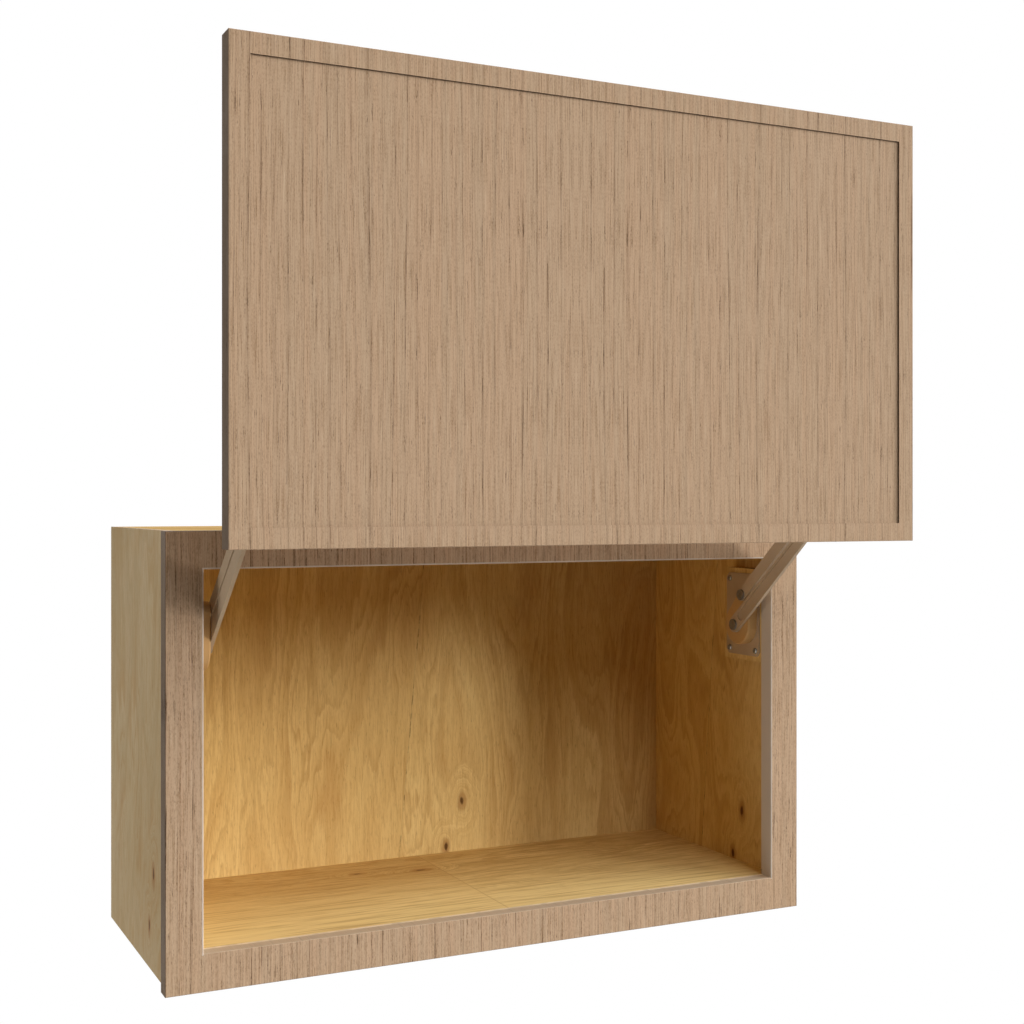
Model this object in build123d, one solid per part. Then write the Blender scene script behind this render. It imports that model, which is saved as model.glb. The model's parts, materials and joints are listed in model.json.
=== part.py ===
from build123d import *
import os
from math import atan2, cos, degrees, hypot, radians, sin, tan

# Case of a 30 x 18 x 12 inch wall cabinet, in millimetres
cabinet_width = 762.0
cabinet_height = 457.2
cabinet_depth = 304.8
panel_thickness = 15.875
back_thickness = 4.7625
groove_depth = 6.35
groove_clearance = 0.4
hanging_rail_height = 76.2
hanging_rail_thickness = 19.05

# Face frame
frame_thickness = 19.05
frame_stile_width = 38.1
top_rail_height = 38.1
bottom_rail_height = 38.1
frame_overhang = 6.35
frame_groove_depth = 4.7625
tenon_length = 12.7
tenon_thickness = 6.35
tenon_shoulder = 6.35
mortise_clearance = 0.5
eased_edge = 0.6

# Slim framed door, drawn raised
reveal = 6.35
door_thickness = 22.225
door_border_width = 19.05
door_panel_thickness = 15.875
door_recess = 2.0
tongue_thickness = 6.35
tongue_depth = 8.0
tongue_clearance = 0.5
door_gap = 2.0
bumper_width = 9.0
bumper_taper = 20.0
bumper_clearance = 0.3
door_open_reach = 183.525
door_open_lap = 12.7

# Parallel lift: where its pivots sit and how its layers stack inwards
main_pivot_inset = 31.0
bracket_pivot_reach = 30.0
rail_clearance = 5.0
link_spacing = 40.0
base_thickness = 2.0
cover_height = 12.0
cover_wall = 1.5
cover_chamfer = 1.2
cover_radius = 24.0
guide_boss_radius = 11.0
base_margin = 14.0
base_front_margin = 2.0
base_corner = 5.0
block_margin = 6.0
arm_thickness = 4.0
arm_clearance = 0.4
main_arm_base_radius = 9.5
main_arm_tip_radius = 7.5
guide_arm_base_radius = 7.5
guide_arm_tip_radius = 6.5
channel_depth = 1.2
channel_inset = 3.5
channel_end_gap = 9.0
hub_radius = 7.0
stud_radius = 4.0
stud_head_radius = 6.5
stud_head_height = 2.0
pin_radius = 3.5
pin_head_radius = 6.0
pin_head_height = 1.6
running_clearance = 0.05
head_clearance = 0.2

# Balance spring, a flat spiral strip round the hub of the main arm
spring_turns = 2
spring_width = 8.0
spring_strip = 1.4
spring_room = 0.8
spring_tang = 2.0
tang_clearance = 0.3
anchor_thickness = 2.0

# Door bracket
bracket_thickness = 2.5
bracket_flange_width = 32.0
bracket_end_margin = 13.0
bracket_boss_radius = 9.0
bracket_bend_radius = 1.5

# The origin is on the wall, at the middle of the upper hanging rail's rear face
bottom_z = -(cabinet_height - panel_thickness - hanging_rail_height / 2)
top_z = bottom_z + cabinet_height
wall_y = 0.0
front_y = wall_y - cabinet_depth
frame_back_y = front_y + frame_thickness
frame_outer_x = cabinet_width / 2
frame_inner_x = frame_outer_x - frame_stile_width
side_outer_x = frame_outer_x - frame_overhang
side_inner_x = side_outer_x - panel_thickness
floor_z = bottom_z + bottom_rail_height
floor_under_z = floor_z - panel_thickness
ceiling_z = top_z - panel_thickness
rail_front_y = wall_y - hanging_rail_thickness
back_front_y = rail_front_y - back_thickness

# The raised door
door_half_width = frame_outer_x - reveal
door_inner_x = door_half_width - door_border_width
door_height = cabinet_height - 2 * reveal
door_rise = cabinet_height - door_open_lap - reveal
door_low_z = top_z - door_open_lap
door_high_z = door_low_z + door_height
door_back_forward = door_gap + door_open_reach
door_back_y = front_y - door_back_forward
door_front_y = door_back_y - door_thickness
panel_front_y = door_front_y + door_recess
panel_back_y = panel_front_y + door_panel_thickness
tongue_front_y = panel_front_y + (door_panel_thickness - tongue_thickness) / 2
tongue_back_y = tongue_front_y + tongue_thickness
tongue_slot = tongue_depth + tongue_clearance

# Arms: one length reaches both the raised and the shut place of the door
main_forward = -(frame_thickness + main_pivot_inset)
shut_run = door_gap - bracket_pivot_reach - main_forward
open_run = shut_run + door_open_reach
shut_drop = (open_run**2 - shut_run**2 + door_rise**2) / (2 * door_rise)
open_climb = door_rise - shut_drop
arm_length = hypot(open_run, open_climb)
open_angle = atan2(open_climb, open_run)
shut_angle = atan2(-shut_drop, shut_run)
link_angle = (open_angle + shut_angle) / 2 + radians(90)
link_offset = Vector(cos(link_angle), sin(link_angle)) * link_spacing

# Pivots as (forward of the frame's front, up from the cabinet's bottom)
# The raised guide arm passes under the top rail with a clearance
guide_forward = main_forward + link_offset.X
guide_half_depth = (guide_arm_base_radius + rail_clearance) / cos(open_angle)
guide_headroom = guide_half_depth - guide_forward * tan(open_angle)
guide_pivot = Vector(guide_forward, cabinet_height - top_rail_height - guide_headroom)
main_pivot = guide_pivot - link_offset
main_tip = main_pivot + Vector(open_run, open_climb)
guide_tip = main_tip + link_offset

# Layers of the lift, measured inwards from the stile's inner edge
cover_top = base_thickness + cover_height
arm_outer = cover_top + arm_clearance
arm_inner = arm_outer + arm_thickness
head_start = arm_inner + head_clearance
web_inner = arm_outer - arm_clearance
web_outer = web_inner - bracket_thickness

# Outline of the lift's base plate and of the block behind it
base_front = max(main_pivot.X + cover_radius, guide_pivot.X + guide_boss_radius) + base_front_margin
base_back = main_pivot.X - cover_radius - base_margin
base_low = main_pivot.Y - cover_radius - base_margin
base_high = guide_pivot.Y + guide_boss_radius + base_margin

pieces = {}


def block(x_range, y_range, z_range):
    """A box between two corners."""
    ranges = (x_range, y_range, z_range)
    size = [high - low for low, high in ranges]
    middle = [(high + low) / 2 for low, high in ranges]
    return Pos(*middle) * Box(*size)


def mirrored(piece):
    """The same piece on the other side of the cabinet's middle."""
    return mirror(piece, about=Plane.YZ)


def add_pair(name, right_piece):
    pieces[name + "_right"] = right_piece
    pieces[name + "_left"] = mirrored(right_piece)


def eased_slab(half_width, y_range, z_range, faces_to_ease):
    """A board's envelope with the edges of its front, or of both faces, eased."""
    slab = block((-half_width, half_width), y_range, z_range)
    faces = slab.faces().sort_by(Axis.Y)
    edges = [edge for index in faces_to_ease for edge in faces[index].edges()]
    return chamfer(edges, eased_edge)


def eased_opening(half_width, y, z_range):
    """Cutter that eases the front edge round an opening."""
    middle = (z_range[0] + z_range[1]) / 2
    height = z_range[1] - z_range[0]
    front = Plane(origin=(0, y, middle), x_dir=(1, 0, 0), z_dir=(0, -1, 0))
    wide = front * Rectangle(2 * (half_width + eased_edge), height + 2 * eased_edge)
    narrow = front.offset(-eased_edge) * Rectangle(2 * half_width, height)
    return loft([wide.face(), narrow.face()])


def lift_plane(depth):
    """Side view of the right lift: forward, up, at a depth inwards from the stile's inner edge."""
    return Plane(origin=(frame_inner_x - depth, front_y, bottom_z), x_dir=(0, -1, 0), z_dir=(-1, 0, 0))


def lift_slab(outline, start, end):
    """A layer of the right lift between two depths."""
    return extrude(lift_plane(start) * outline, amount=end - start)


def disc(centre, radius):
    return Pos(centre.X, centre.Y) * Circle(radius)


def link_outline(start, start_radius, end, end_radius):
    """Two round ends joined by tangents."""
    return make_hull(disc(start, start_radius).edges() + disc(end, end_radius).edges())


def lift_point(point, depth):
    """A point of the side view in the cabinet's frame."""
    return lift_plane(depth).from_local_coords((point.X, point.Y, 0))


# Case


def side_panel():
    y_range = (frame_back_y - frame_groove_depth, wall_y)
    panel = block((side_inner_x, side_outer_x), y_range, (bottom_z, top_z))
    housing_x = (side_inner_x, side_inner_x + groove_depth)
    panel -= block(housing_x, (frame_back_y, wall_y), (ceiling_z, top_z))
    panel -= block(housing_x, (frame_back_y, wall_y), (floor_under_z, floor_z))
    back_z = (floor_z - groove_depth, ceiling_z + groove_depth)
    panel -= block(housing_x, (back_front_y, rail_front_y), back_z)
    return panel


def shelf_board(low_z, groove_z):
    half_width = side_inner_x + groove_depth
    board = block((-half_width, half_width), (frame_back_y, wall_y), (low_z, low_z + panel_thickness))
    return board - block((-half_width, half_width), (back_front_y, rail_front_y), groove_z)


def back_panel():
    half_width = side_inner_x + groove_depth - groove_clearance
    reach = groove_depth - groove_clearance
    z_range = (floor_z - reach, ceiling_z + reach)
    return block((-half_width, half_width), (back_front_y, rail_front_y), z_range)


def hanging_rail(low_z):
    z_range = (low_z, low_z + hanging_rail_height)
    return block((-side_inner_x, side_inner_x), (rail_front_y, wall_y), z_range)


# Face frame

frame_slab = eased_slab(frame_outer_x, (front_y, frame_back_y), (bottom_z, top_z), (0,))
frame_ease = eased_opening(frame_inner_x, front_y, (floor_z, top_z - top_rail_height))
tenon_front_y = front_y + (frame_thickness - tenon_thickness) / 2
tenon_y = (tenon_front_y, tenon_front_y + tenon_thickness)
frame_rails = {"top": (top_z - top_rail_height, top_z), "bottom": (bottom_z, floor_z)}


def frame_stile():
    z_range = (bottom_z, top_z)
    stile = frame_slab & block((frame_inner_x, frame_outer_x), (front_y, frame_back_y), z_range)
    groove_y = (frame_back_y - frame_groove_depth, frame_back_y)
    stile -= block((side_inner_x, side_outer_x), groove_y, z_range)
    mortise_end = frame_inner_x + tenon_length + mortise_clearance
    for low, high in frame_rails.values():
        stile -= block((frame_inner_x, mortise_end), tenon_y, (low + tenon_shoulder, high - tenon_shoulder))
    return stile - frame_ease


def frame_rail(z_range):
    low, high = z_range
    tenon_tip = frame_inner_x + tenon_length
    rail = frame_slab & block((-frame_inner_x, frame_inner_x), (front_y, frame_back_y), z_range)
    tenons = block((-tenon_tip, tenon_tip), tenon_y, (low + tenon_shoulder, high - tenon_shoulder))
    return (rail - frame_ease) + tenons


# Door

door_slab = eased_slab(door_half_width, (door_front_y, door_back_y), (door_low_z, door_high_z), (0, -1))
tongue_y = (tongue_front_y, tongue_back_y)
panel_low_z = door_low_z + door_border_width
panel_high_z = door_high_z - door_border_width
slot_half_width = door_inner_x + tongue_slot
slot_z = (panel_low_z - tongue_slot, panel_high_z + tongue_slot)


def door_stile():
    z_range = (door_low_z, door_high_z)
    stile = door_slab & block((door_inner_x, door_half_width), (door_front_y, door_back_y), z_range)
    return stile - block((door_inner_x, slot_half_width), tongue_y, z_range)


def door_rail(z_range):
    rail = door_slab & block((-door_inner_x, door_inner_x), (door_front_y, door_back_y), z_range)
    tenon_tip = door_inner_x + tongue_depth
    rail += block((-tenon_tip, tenon_tip), tongue_y, (z_range[0] + eased_edge, z_range[1] - eased_edge))
    return rail - block((-slot_half_width, slot_half_width), tongue_y, slot_z)


def door_panel():
    tongue_x = door_inner_x + tongue_depth
    tongue_z = (panel_low_z - tongue_depth, panel_high_z + tongue_depth)
    panel = block((-door_inner_x, door_inner_x), (panel_front_y, panel_back_y), (panel_low_z, panel_high_z))
    return panel + block((-tongue_x, tongue_x), tongue_y, tongue_z)


def door_bumpers():
    """Four soft tapered buttons on the corners of the door's back."""
    inset = door_border_width / 2
    height = door_gap - bumper_clearance
    buttons = []
    for z in (door_low_z + inset, door_high_z - inset):
        seat = Plane(origin=(door_half_width - inset, door_back_y, z), z_dir=(0, 1, 0))
        right = extrude(seat * Rectangle(bumper_width, bumper_width), height, taper=bumper_taper)
        buttons += [right, mirrored(right)]
    return buttons


# Lift, drawn for the right side


def mounting_block():
    """Spacer that brings the lift flush with the stile's inner edge."""
    far_y = front_y - base_back + block_margin
    z_range = (bottom_z + base_low - block_margin, bottom_z + base_high + block_margin)
    return block((frame_inner_x, side_inner_x), (frame_back_y, far_y), z_range)


def lift_base():
    """Steel plate with a lanced tab that anchors the spring's outer end."""
    middle = Pos((base_front + base_back) / 2, (base_high + base_low) / 2)
    outline = middle * Rectangle(base_front - base_back, base_high - base_low)
    outline = chamfer(outline.vertices(), base_corner)
    for pivot in (main_pivot, guide_pivot):
        outline -= disc(pivot, stud_radius + running_clearance)
    plate = lift_slab(outline, 0, base_thickness)
    tab_length = cover_radius - cover_wall - spring_outer_end + spring_strip
    tab_middle = main_pivot + Vector(spring_outer_end, tang_clearance + anchor_thickness / 2)
    tab = Pos(tab_middle.X, tab_middle.Y) * Rectangle(tab_length, anchor_thickness)
    return plate + lift_slab(tab, base_thickness, base_thickness + spring_width)


def lift_cover():
    """Moulded cap over the spring, open towards the plate."""
    shell = link_outline(main_pivot, cover_radius, guide_pivot, guide_boss_radius)
    cap = lift_slab(shell, base_thickness, cover_top)
    cap = chamfer(cap.faces().sort_by(Axis.X)[0].edges(), cover_chamfer)
    room = link_outline(main_pivot, cover_radius - cover_wall, guide_pivot, guide_boss_radius - cover_wall)
    cap -= lift_slab(room, base_thickness, cover_top - cover_wall)
    cap -= lift_slab(disc(main_pivot, hub_radius + arm_clearance), base_thickness, cover_top)
    return cap - lift_slab(disc(guide_pivot, stud_radius + running_clearance), base_thickness, cover_top)


def headed_pin(centre, start, shank_radius, head_radius, head_height):
    """A pin through the layers from a start depth, with a head over the arm."""
    head = lift_slab(disc(centre, head_radius), head_start, head_start + head_height)
    return head + lift_slab(disc(centre, shank_radius), start, head_start)


spring_start = hub_radius + spring_room + spring_strip / 2
spring_outer_end = cover_radius - cover_wall - spring_room - spring_strip / 2
spring_pitch = (spring_outer_end - spring_start) / spring_turns


def spring_edge(offset):
    """Half-turn arcs of the spiral, moved off its middle line."""
    arcs = []
    for half_turn in range(2 * spring_turns):
        sign = 1 if half_turn % 2 == 0 else -1
        radius = spring_start + (2 * half_turn + 1) * spring_pitch / 4 + offset
        centre = main_pivot + Vector(-sign * spring_pitch / 4, 0)
        arcs.append(CenterArc((centre.X, centre.Y), radius, 90 - sign * 90, 180))
    return arcs


def balance_spring():
    inner = spring_edge(-spring_strip / 2)
    outer = spring_edge(spring_strip / 2)
    caps = [Line(inner[0] @ 0, outer[0] @ 0), Line(inner[-1] @ 1, outer[-1] @ 1)]
    outline = make_face(inner + outer + caps)
    tang_tip = hub_radius - spring_tang
    tang_end = spring_start + spring_strip / 2
    tang_middle = main_pivot + Vector((tang_tip + tang_end) / 2, spring_strip / 2)
    outline += Pos(tang_middle.X, tang_middle.Y) * Rectangle(tang_end - tang_tip, spring_strip)
    start = base_thickness + tang_clearance
    return lift_slab(outline, start, start + spring_width)


def arm(pivot, base_radius, tip, tip_radius):
    """A flat arm, tapered from its stud to its pin."""
    outline = link_outline(pivot, base_radius, tip, tip_radius)
    outline -= disc(pivot, stud_radius + running_clearance)
    outline -= disc(tip, pin_radius + running_clearance)
    return lift_slab(outline, arm_outer, arm_inner)


def arm_channel():
    """The shallow stiffening channel pressed along the main arm's inner face."""
    along = (main_tip - main_pivot).normalized()
    start = main_pivot + along * (main_arm_base_radius + channel_end_gap)
    start_radius = main_arm_base_radius - channel_inset
    end = main_tip - along * (main_arm_tip_radius + channel_end_gap)
    end_radius = main_arm_tip_radius - channel_inset
    outline = link_outline(start, start_radius, end, end_radius)
    return lift_slab(outline, arm_inner - channel_depth, arm_inner)


def main_arm():
    """The main arm and the hub that winds the spring."""
    hub_start = base_thickness + arm_clearance
    hub = lift_slab(disc(main_pivot, hub_radius), hub_start, arm_outer)
    hub -= lift_slab(disc(main_pivot, stud_radius + running_clearance), hub_start, arm_outer)
    slot_tip = hub_radius - spring_tang - tang_clearance
    slot_length = hub_radius - slot_tip + tang_clearance
    slot_middle = main_pivot + Vector(slot_tip + slot_length / 2, spring_strip / 2)
    slot = Pos(slot_middle.X, slot_middle.Y) * Rectangle(slot_length, spring_strip + 2 * tang_clearance)
    hub -= lift_slab(slot, hub_start, base_thickness + spring_width + 2 * tang_clearance)
    return arm(main_pivot, main_arm_base_radius, main_tip, main_arm_tip_radius) - arm_channel() + hub


# Door bracket

bracket_outer_x = frame_inner_x - web_outer
bracket_inner_x = bracket_outer_x - bracket_flange_width
flange_back_y = panel_back_y + bracket_thickness
bracket_low = main_tip.Y - bracket_end_margin
bracket_high = guide_tip.Y + bracket_end_margin


def door_bracket():
    """Folded steel: a flange on the door's back and a web that holds both pins."""
    flange_forward = front_y - panel_back_y
    fold = Line((flange_forward, bracket_low), (flange_forward, bracket_high))
    bosses = disc(main_tip, bracket_boss_radius).edges() + disc(guide_tip, bracket_boss_radius).edges()
    web = lift_slab(make_hull(bosses + fold.edges()), web_outer, web_inner)
    z_range = (bottom_z + bracket_low, bottom_z + bracket_high)
    flange = block((bracket_inner_x, bracket_outer_x), (panel_back_y, flange_back_y), z_range)
    bracket = web + flange
    inside_x = frame_inner_x - web_inner
    bend = bracket.edges().filter_by(Axis.Z).filter_by_position(Axis.X, inside_x, inside_x)
    bracket = fillet(bend.filter_by_position(Axis.Y, flange_back_y, flange_back_y), bracket_bend_radius)
    for tip in (main_tip, guide_tip):
        bracket -= lift_slab(disc(tip, pin_radius + running_clearance), web_outer, web_inner)
    return bracket


add_pair("side_panel", side_panel())
pieces["top_panel"] = shelf_board(ceiling_z, (ceiling_z, ceiling_z + groove_depth))
pieces["bottom_panel"] = shelf_board(floor_under_z, (floor_z - groove_depth, floor_z))
pieces["back_panel"] = back_panel()
pieces["upper_hanging_rail"] = hanging_rail(ceiling_z - hanging_rail_height)
pieces["lower_hanging_rail"] = hanging_rail(floor_z)
add_pair("frame_stile", frame_stile())
for rail_name, rail_range in frame_rails.items():
    pieces[f"frame_{rail_name}_rail"] = frame_rail(rail_range)

add_pair("door_stile", door_stile())
pieces["door_top_rail"] = door_rail((panel_high_z, door_high_z))
pieces["door_bottom_rail"] = door_rail((door_low_z, panel_low_z))
pieces["door_panel"] = door_panel()
pieces["door_bumpers"] = Compound(children=door_bumpers())

add_pair("mounting_block", mounting_block())
add_pair("lift_base", lift_base())
add_pair("lift_cover", lift_cover())
add_pair("main_stud", headed_pin(main_pivot, 0, stud_radius, stud_head_radius, stud_head_height))
add_pair("guide_stud", headed_pin(guide_pivot, 0, stud_radius, stud_head_radius, stud_head_height))
spring = balance_spring()
pieces["balance_springs"] = Compound(children=[spring, mirrored(spring)])
add_pair("main_arm", main_arm())
add_pair("guide_arm", arm(guide_pivot, guide_arm_base_radius, guide_tip, guide_arm_tip_radius))
add_pair("door_bracket", door_bracket())
bracket_pins = []
for tip in (main_tip, guide_tip):
    bracket_pins.append(headed_pin(tip, web_outer, pin_radius, pin_head_radius, pin_head_height))
pieces["bracket_pins_right"] = Compound(children=bracket_pins)
pieces["bracket_pins_left"] = Compound(children=[mirrored(pin) for pin in bracket_pins])
os.makedirs("parts", exist_ok=True)
for node, piece in pieces.items():
    export_step(piece, f"parts/{node}.step")

print("arm length", round(arm_length, 3), "swing", round(degrees(open_angle - shut_angle), 4))
pivots = {"main": main_pivot, "guide": guide_pivot, "main tip": main_tip, "guide tip": guide_tip}
for label, point in pivots.items():
    placed = lift_point(point, arm_outer)
    print(label, [round(value, 4) for value in (placed.X, placed.Y, placed.Z)])
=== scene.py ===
import json
import math

import bpy
from mathutils import Matrix, Vector


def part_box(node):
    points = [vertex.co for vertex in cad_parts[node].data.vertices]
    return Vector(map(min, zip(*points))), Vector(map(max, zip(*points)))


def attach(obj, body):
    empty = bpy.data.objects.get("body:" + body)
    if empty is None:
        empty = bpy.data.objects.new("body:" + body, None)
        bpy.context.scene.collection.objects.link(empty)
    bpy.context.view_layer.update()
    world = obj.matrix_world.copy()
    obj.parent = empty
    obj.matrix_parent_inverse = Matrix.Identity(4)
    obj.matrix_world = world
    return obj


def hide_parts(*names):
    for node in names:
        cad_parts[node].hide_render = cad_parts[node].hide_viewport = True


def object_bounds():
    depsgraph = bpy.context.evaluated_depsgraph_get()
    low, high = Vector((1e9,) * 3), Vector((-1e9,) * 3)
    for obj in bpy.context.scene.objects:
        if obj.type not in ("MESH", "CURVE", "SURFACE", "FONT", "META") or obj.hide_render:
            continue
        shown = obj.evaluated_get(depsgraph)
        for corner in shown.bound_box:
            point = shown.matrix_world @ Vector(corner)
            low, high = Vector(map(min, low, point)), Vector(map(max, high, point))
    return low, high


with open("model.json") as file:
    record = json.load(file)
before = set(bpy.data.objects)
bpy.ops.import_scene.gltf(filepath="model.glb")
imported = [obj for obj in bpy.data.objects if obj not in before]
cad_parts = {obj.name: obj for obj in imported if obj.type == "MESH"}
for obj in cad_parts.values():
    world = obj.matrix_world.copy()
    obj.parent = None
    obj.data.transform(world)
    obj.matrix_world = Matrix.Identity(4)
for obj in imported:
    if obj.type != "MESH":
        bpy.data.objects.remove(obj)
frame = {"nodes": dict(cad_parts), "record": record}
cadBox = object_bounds()
nodes = frame["nodes"]
print("frame loaded:", len(nodes), "nodes")


def srgb(red, green, blue):
    # screen values 0-255 to the linear colour that a socket takes, by the sRGB curve
    shares = [value / 255 for value in (red, green, blue)]
    return tuple(s / 12.92 if s <= 0.04045 else ((s + 0.055) / 1.055) ** 2.4 for s in shares) + (1,)


white, black = (1, 1, 1, 1), (0, 0, 0, 1)
sideSigns = {"left": -1, "right": 1}


# node helpers

floatSocket, vectorSocket = "NodeSocketFloat", "NodeSocketVector"
mixPlaces, mixResult = (0, 6, 7), 2  # where a Mix node keeps its colour sockets
noiseMiddle = 0.5


def newNode(tree, kind, **settings):
    node = tree.nodes.new(kind)
    for key, value in settings.items():
        setattr(node, key, value)
    return node


def plug(tree, value, socket):
    # a socket is linked, a number or colour is set on the socket itself
    if isinstance(value, bpy.types.NodeSocket):
        tree.links.new(value, socket)
    else:
        socket.default_value = value


def plugInOrder(tree, node, values):
    for socket, value in zip(node.inputs, values):
        plug(tree, value, socket)


def plugByName(tree, node, values):
    for label, value in values.items():
        plug(tree, value, node.inputs[label])


def calc(tree, operation, *values):
    node = newNode(tree, "ShaderNodeMath", operation=operation)
    plugInOrder(tree, node, values)
    return node.outputs[0]


def vectorCalc(tree, operation, *values):
    node = newNode(tree, "ShaderNodeVectorMath", operation=operation)
    plugInOrder(tree, node, values)
    return node.outputs


def most(tree, *values):
    top = values[0]
    for value in values[1:]:
        top = calc(tree, "MAXIMUM", top, value)
    return top


def fade(tree, value, low, high, start=0.0, end=1.0):
    node = newNode(tree, "ShaderNodeMapRange", interpolation_type="SMOOTHSTEP")
    plugInOrder(tree, node, (value, low, high, start, end))
    return node.outputs[0]


def noise(tree, place, size, detail=2.0, roughness=0.5, distortion=0.0):
    # size is features per metre along each axis
    spread = vectorCalc(tree, "MULTIPLY", place, size)["Vector"]
    node = newNode(tree, "ShaderNodeTexNoise")
    plugByName(tree, node, {"Vector": spread, "Scale": 1.0, "Detail": detail})
    plugByName(tree, node, {"Roughness": roughness, "Distortion": distortion})
    return node.outputs[0]


def swing(tree, value, reach):
    # a noise about its middle, so that it goes both ways
    return calc(tree, "MULTIPLY", calc(tree, "SUBTRACT", value, noiseMiddle), reach)


def blend(tree, factor, first, second):
    node = newNode(tree, "ShaderNodeMix", data_type="RGBA")
    for index, value in zip(mixPlaces, (factor, first, second)):
        plug(tree, value, node.inputs[index])
    return node.outputs[mixResult]


def tint(tree, mask, share, colour, over):
    # lays one colour over another by a share of the mask
    return blend(tree, calc(tree, "MULTIPLY", mask, share), colour, over)


def axes(tree, place):
    node = newNode(tree, "ShaderNodeSeparateXYZ")
    plug(tree, place, node.inputs[0])
    return node.outputs


def joinAxes(tree, x, y, z):
    node = newNode(tree, "ShaderNodeCombineXYZ")
    plugInOrder(tree, node, (x, y, z))
    return node.outputs[0]


def startGroup(name, inputs, outputs):
    tree = bpy.data.node_groups.new(name, "ShaderNodeTree")
    for label, kind in inputs.items():
        tree.interface.new_socket(name=label, in_out="INPUT", socket_type=kind)
    for label in outputs:
        tree.interface.new_socket(name=label, in_out="OUTPUT", socket_type=floatSocket)
    return tree, newNode(tree, "NodeGroupInput").outputs, newNode(tree, "NodeGroupOutput").inputs


def useGroup(tree, group, **values):
    node = newNode(tree, "ShaderNodeGroup", node_tree=group)
    plugByName(tree, node, values)
    return node.outputs


def startMaterial(name):
    material = bpy.data.materials.new(name)
    material.use_nodes = True
    tree = material.node_tree
    return material, tree, tree.nodes["Principled BSDF"], newNode(tree, "ShaderNodeTexCoord").outputs


def addBump(tree, shader, height, distance, strength):
    node = newNode(tree, "ShaderNodeBump")
    plugByName(tree, node, {"Strength": strength, "Distance": distance, "Height": height})
    plug(tree, node.outputs[0], shader.inputs["Normal"])


# shared effects
# in the dictionaries a noise is (features per metre along each axis, detail, roughness, distortion),
# a fade is (from, to, value at the start, value at the end) and a bump is (depth in metres, strength)

flatFace = 0.8  # how far along an axis a normal points when its face looks that way


def makeFacing():
    # which way a face looks, from the piece's own normal
    labels = ("Side", "Front", "Top")
    group, given, out = startGroup("facing", {"Normal": vectorSocket}, labels)
    for axis, label in zip(axes(group, given["Normal"]), labels):
        plug(group, calc(group, "GREATER_THAN", calc(group, "ABSOLUTE", axis), flatFace), out[label])
    return group


veneer = {
    "sway": ((6.0, 6.0, 2.5), 2.0),
    "swayReach": 0.006,
    "bands": ((110.0, 110.0, 1.6), 3.0, 0.6),
    "wander": ((26.0, 26.0, 0.7), 2.0),
    "growth": ((84.0, 2.4, 0.19, 1.0), (205.0, 5.0, 0.3, 0.45)),  # lines per metre, drift, width, share
    "lineStep": 0.73,  # sets a line's depth apart from its neighbour's
    "lineDepth": ((1.0, 1.0, 13.0), 3.0, 0.65),
    "lineDepthFade": (0.38, 0.68, 0.14, 0.95),
    "lineOwnFade": (0.0, 1.0, 0.5, 1.0),
    "speck": ((950.0, 950.0, 400.0), 2.0, 0.6),
    "stripes": ((980.0, 980.0, 16.0), 2.0, 0.7),
    "stripeSpeck": 0.5,
    "pores": ((980.0, 980.0, 34.0), 2.0, 0.7),
    "poreOnLine": 0.19,  # pores crowd along the growth lines
    "poreSpeck": 0.25,
    "poreFade": (0.62, 0.74),
    "pits": ((1100.0, 1100.0, 210.0), 2.0, 0.6),
    "pitFade": (0.57, 0.8, 0.0, 0.5),
    "rays": ((1200.0, 1200.0, 24.0), 2.0, 0.6),
    "rayFade": (0.58, 0.78),
}


def makeVeneerGrain():
    # straight oak grain along Z: colour bands, long growth lines, hair stripes, dark pores and pale rays
    group, given, out = startGroup(
        "veneerGrain",
        {"Vector": vectorSocket, "Seed": floatSocket},
        ("Bands", "Lines", "Stripes", "Pores", "Rays"),
    )
    x, y, z = axes(group, given["Vector"])
    x = calc(group, "ADD", x, given["Seed"])
    sway = noise(group, joinAxes(group, x, y, z), *veneer["sway"])
    x = calc(group, "ADD", x, swing(group, sway, veneer["swayReach"]))
    place = joinAxes(group, x, y, z)
    plug(group, noise(group, place, *veneer["bands"]), out["Bands"])
    wander = noise(group, place, *veneer["wander"])
    lines = 0.0
    for perMetre, drift, width, share in veneer["growth"]:
        # a growth line starts sharp and fades, each with its own depth
        phase = calc(group, "MULTIPLY_ADD", x, perMetre, calc(group, "MULTIPLY", wander, drift))
        count = calc(group, "FLOOR", phase)
        line = fade(group, calc(group, "FRACT", phase), 0.0, width, share, 0.0)
        own = newNode(group, "ShaderNodeTexWhiteNoise", noise_dimensions="1D")
        plug(group, count, own.inputs["W"])
        along = joinAxes(group, calc(group, "MULTIPLY", count, veneer["lineStep"]), y, z)
        depth = fade(group, noise(group, along, *veneer["lineDepth"]), *veneer["lineDepthFade"])
        depth = calc(group, "MULTIPLY", depth, fade(group, own.outputs["Value"], *veneer["lineOwnFade"]))
        lines = calc(group, "MAXIMUM", lines, calc(group, "MULTIPLY", line, depth))
    plug(group, lines, out["Lines"])
    speck = calc(group, "SUBTRACT", noise(group, place, *veneer["speck"]), noiseMiddle)
    stripes = noise(group, place, *veneer["stripes"])
    plug(group, calc(group, "MULTIPLY_ADD", speck, veneer["stripeSpeck"], stripes), out["Stripes"])
    pores = noise(group, place, *veneer["pores"])
    pores = calc(group, "ADD", pores, calc(group, "MULTIPLY", lines, veneer["poreOnLine"]))
    pores = calc(group, "MULTIPLY_ADD", speck, veneer["poreSpeck"], pores)
    pits = noise(group, place, *veneer["pits"])
    pores = most(group, fade(group, pores, *veneer["poreFade"]), fade(group, pits, *veneer["pitFade"]))
    plug(group, pores, out["Pores"])
    rays = noise(group, place, *veneer["rays"])
    plug(group, fade(group, rays, *veneer["rayFade"]), out["Rays"])
    return group


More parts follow.
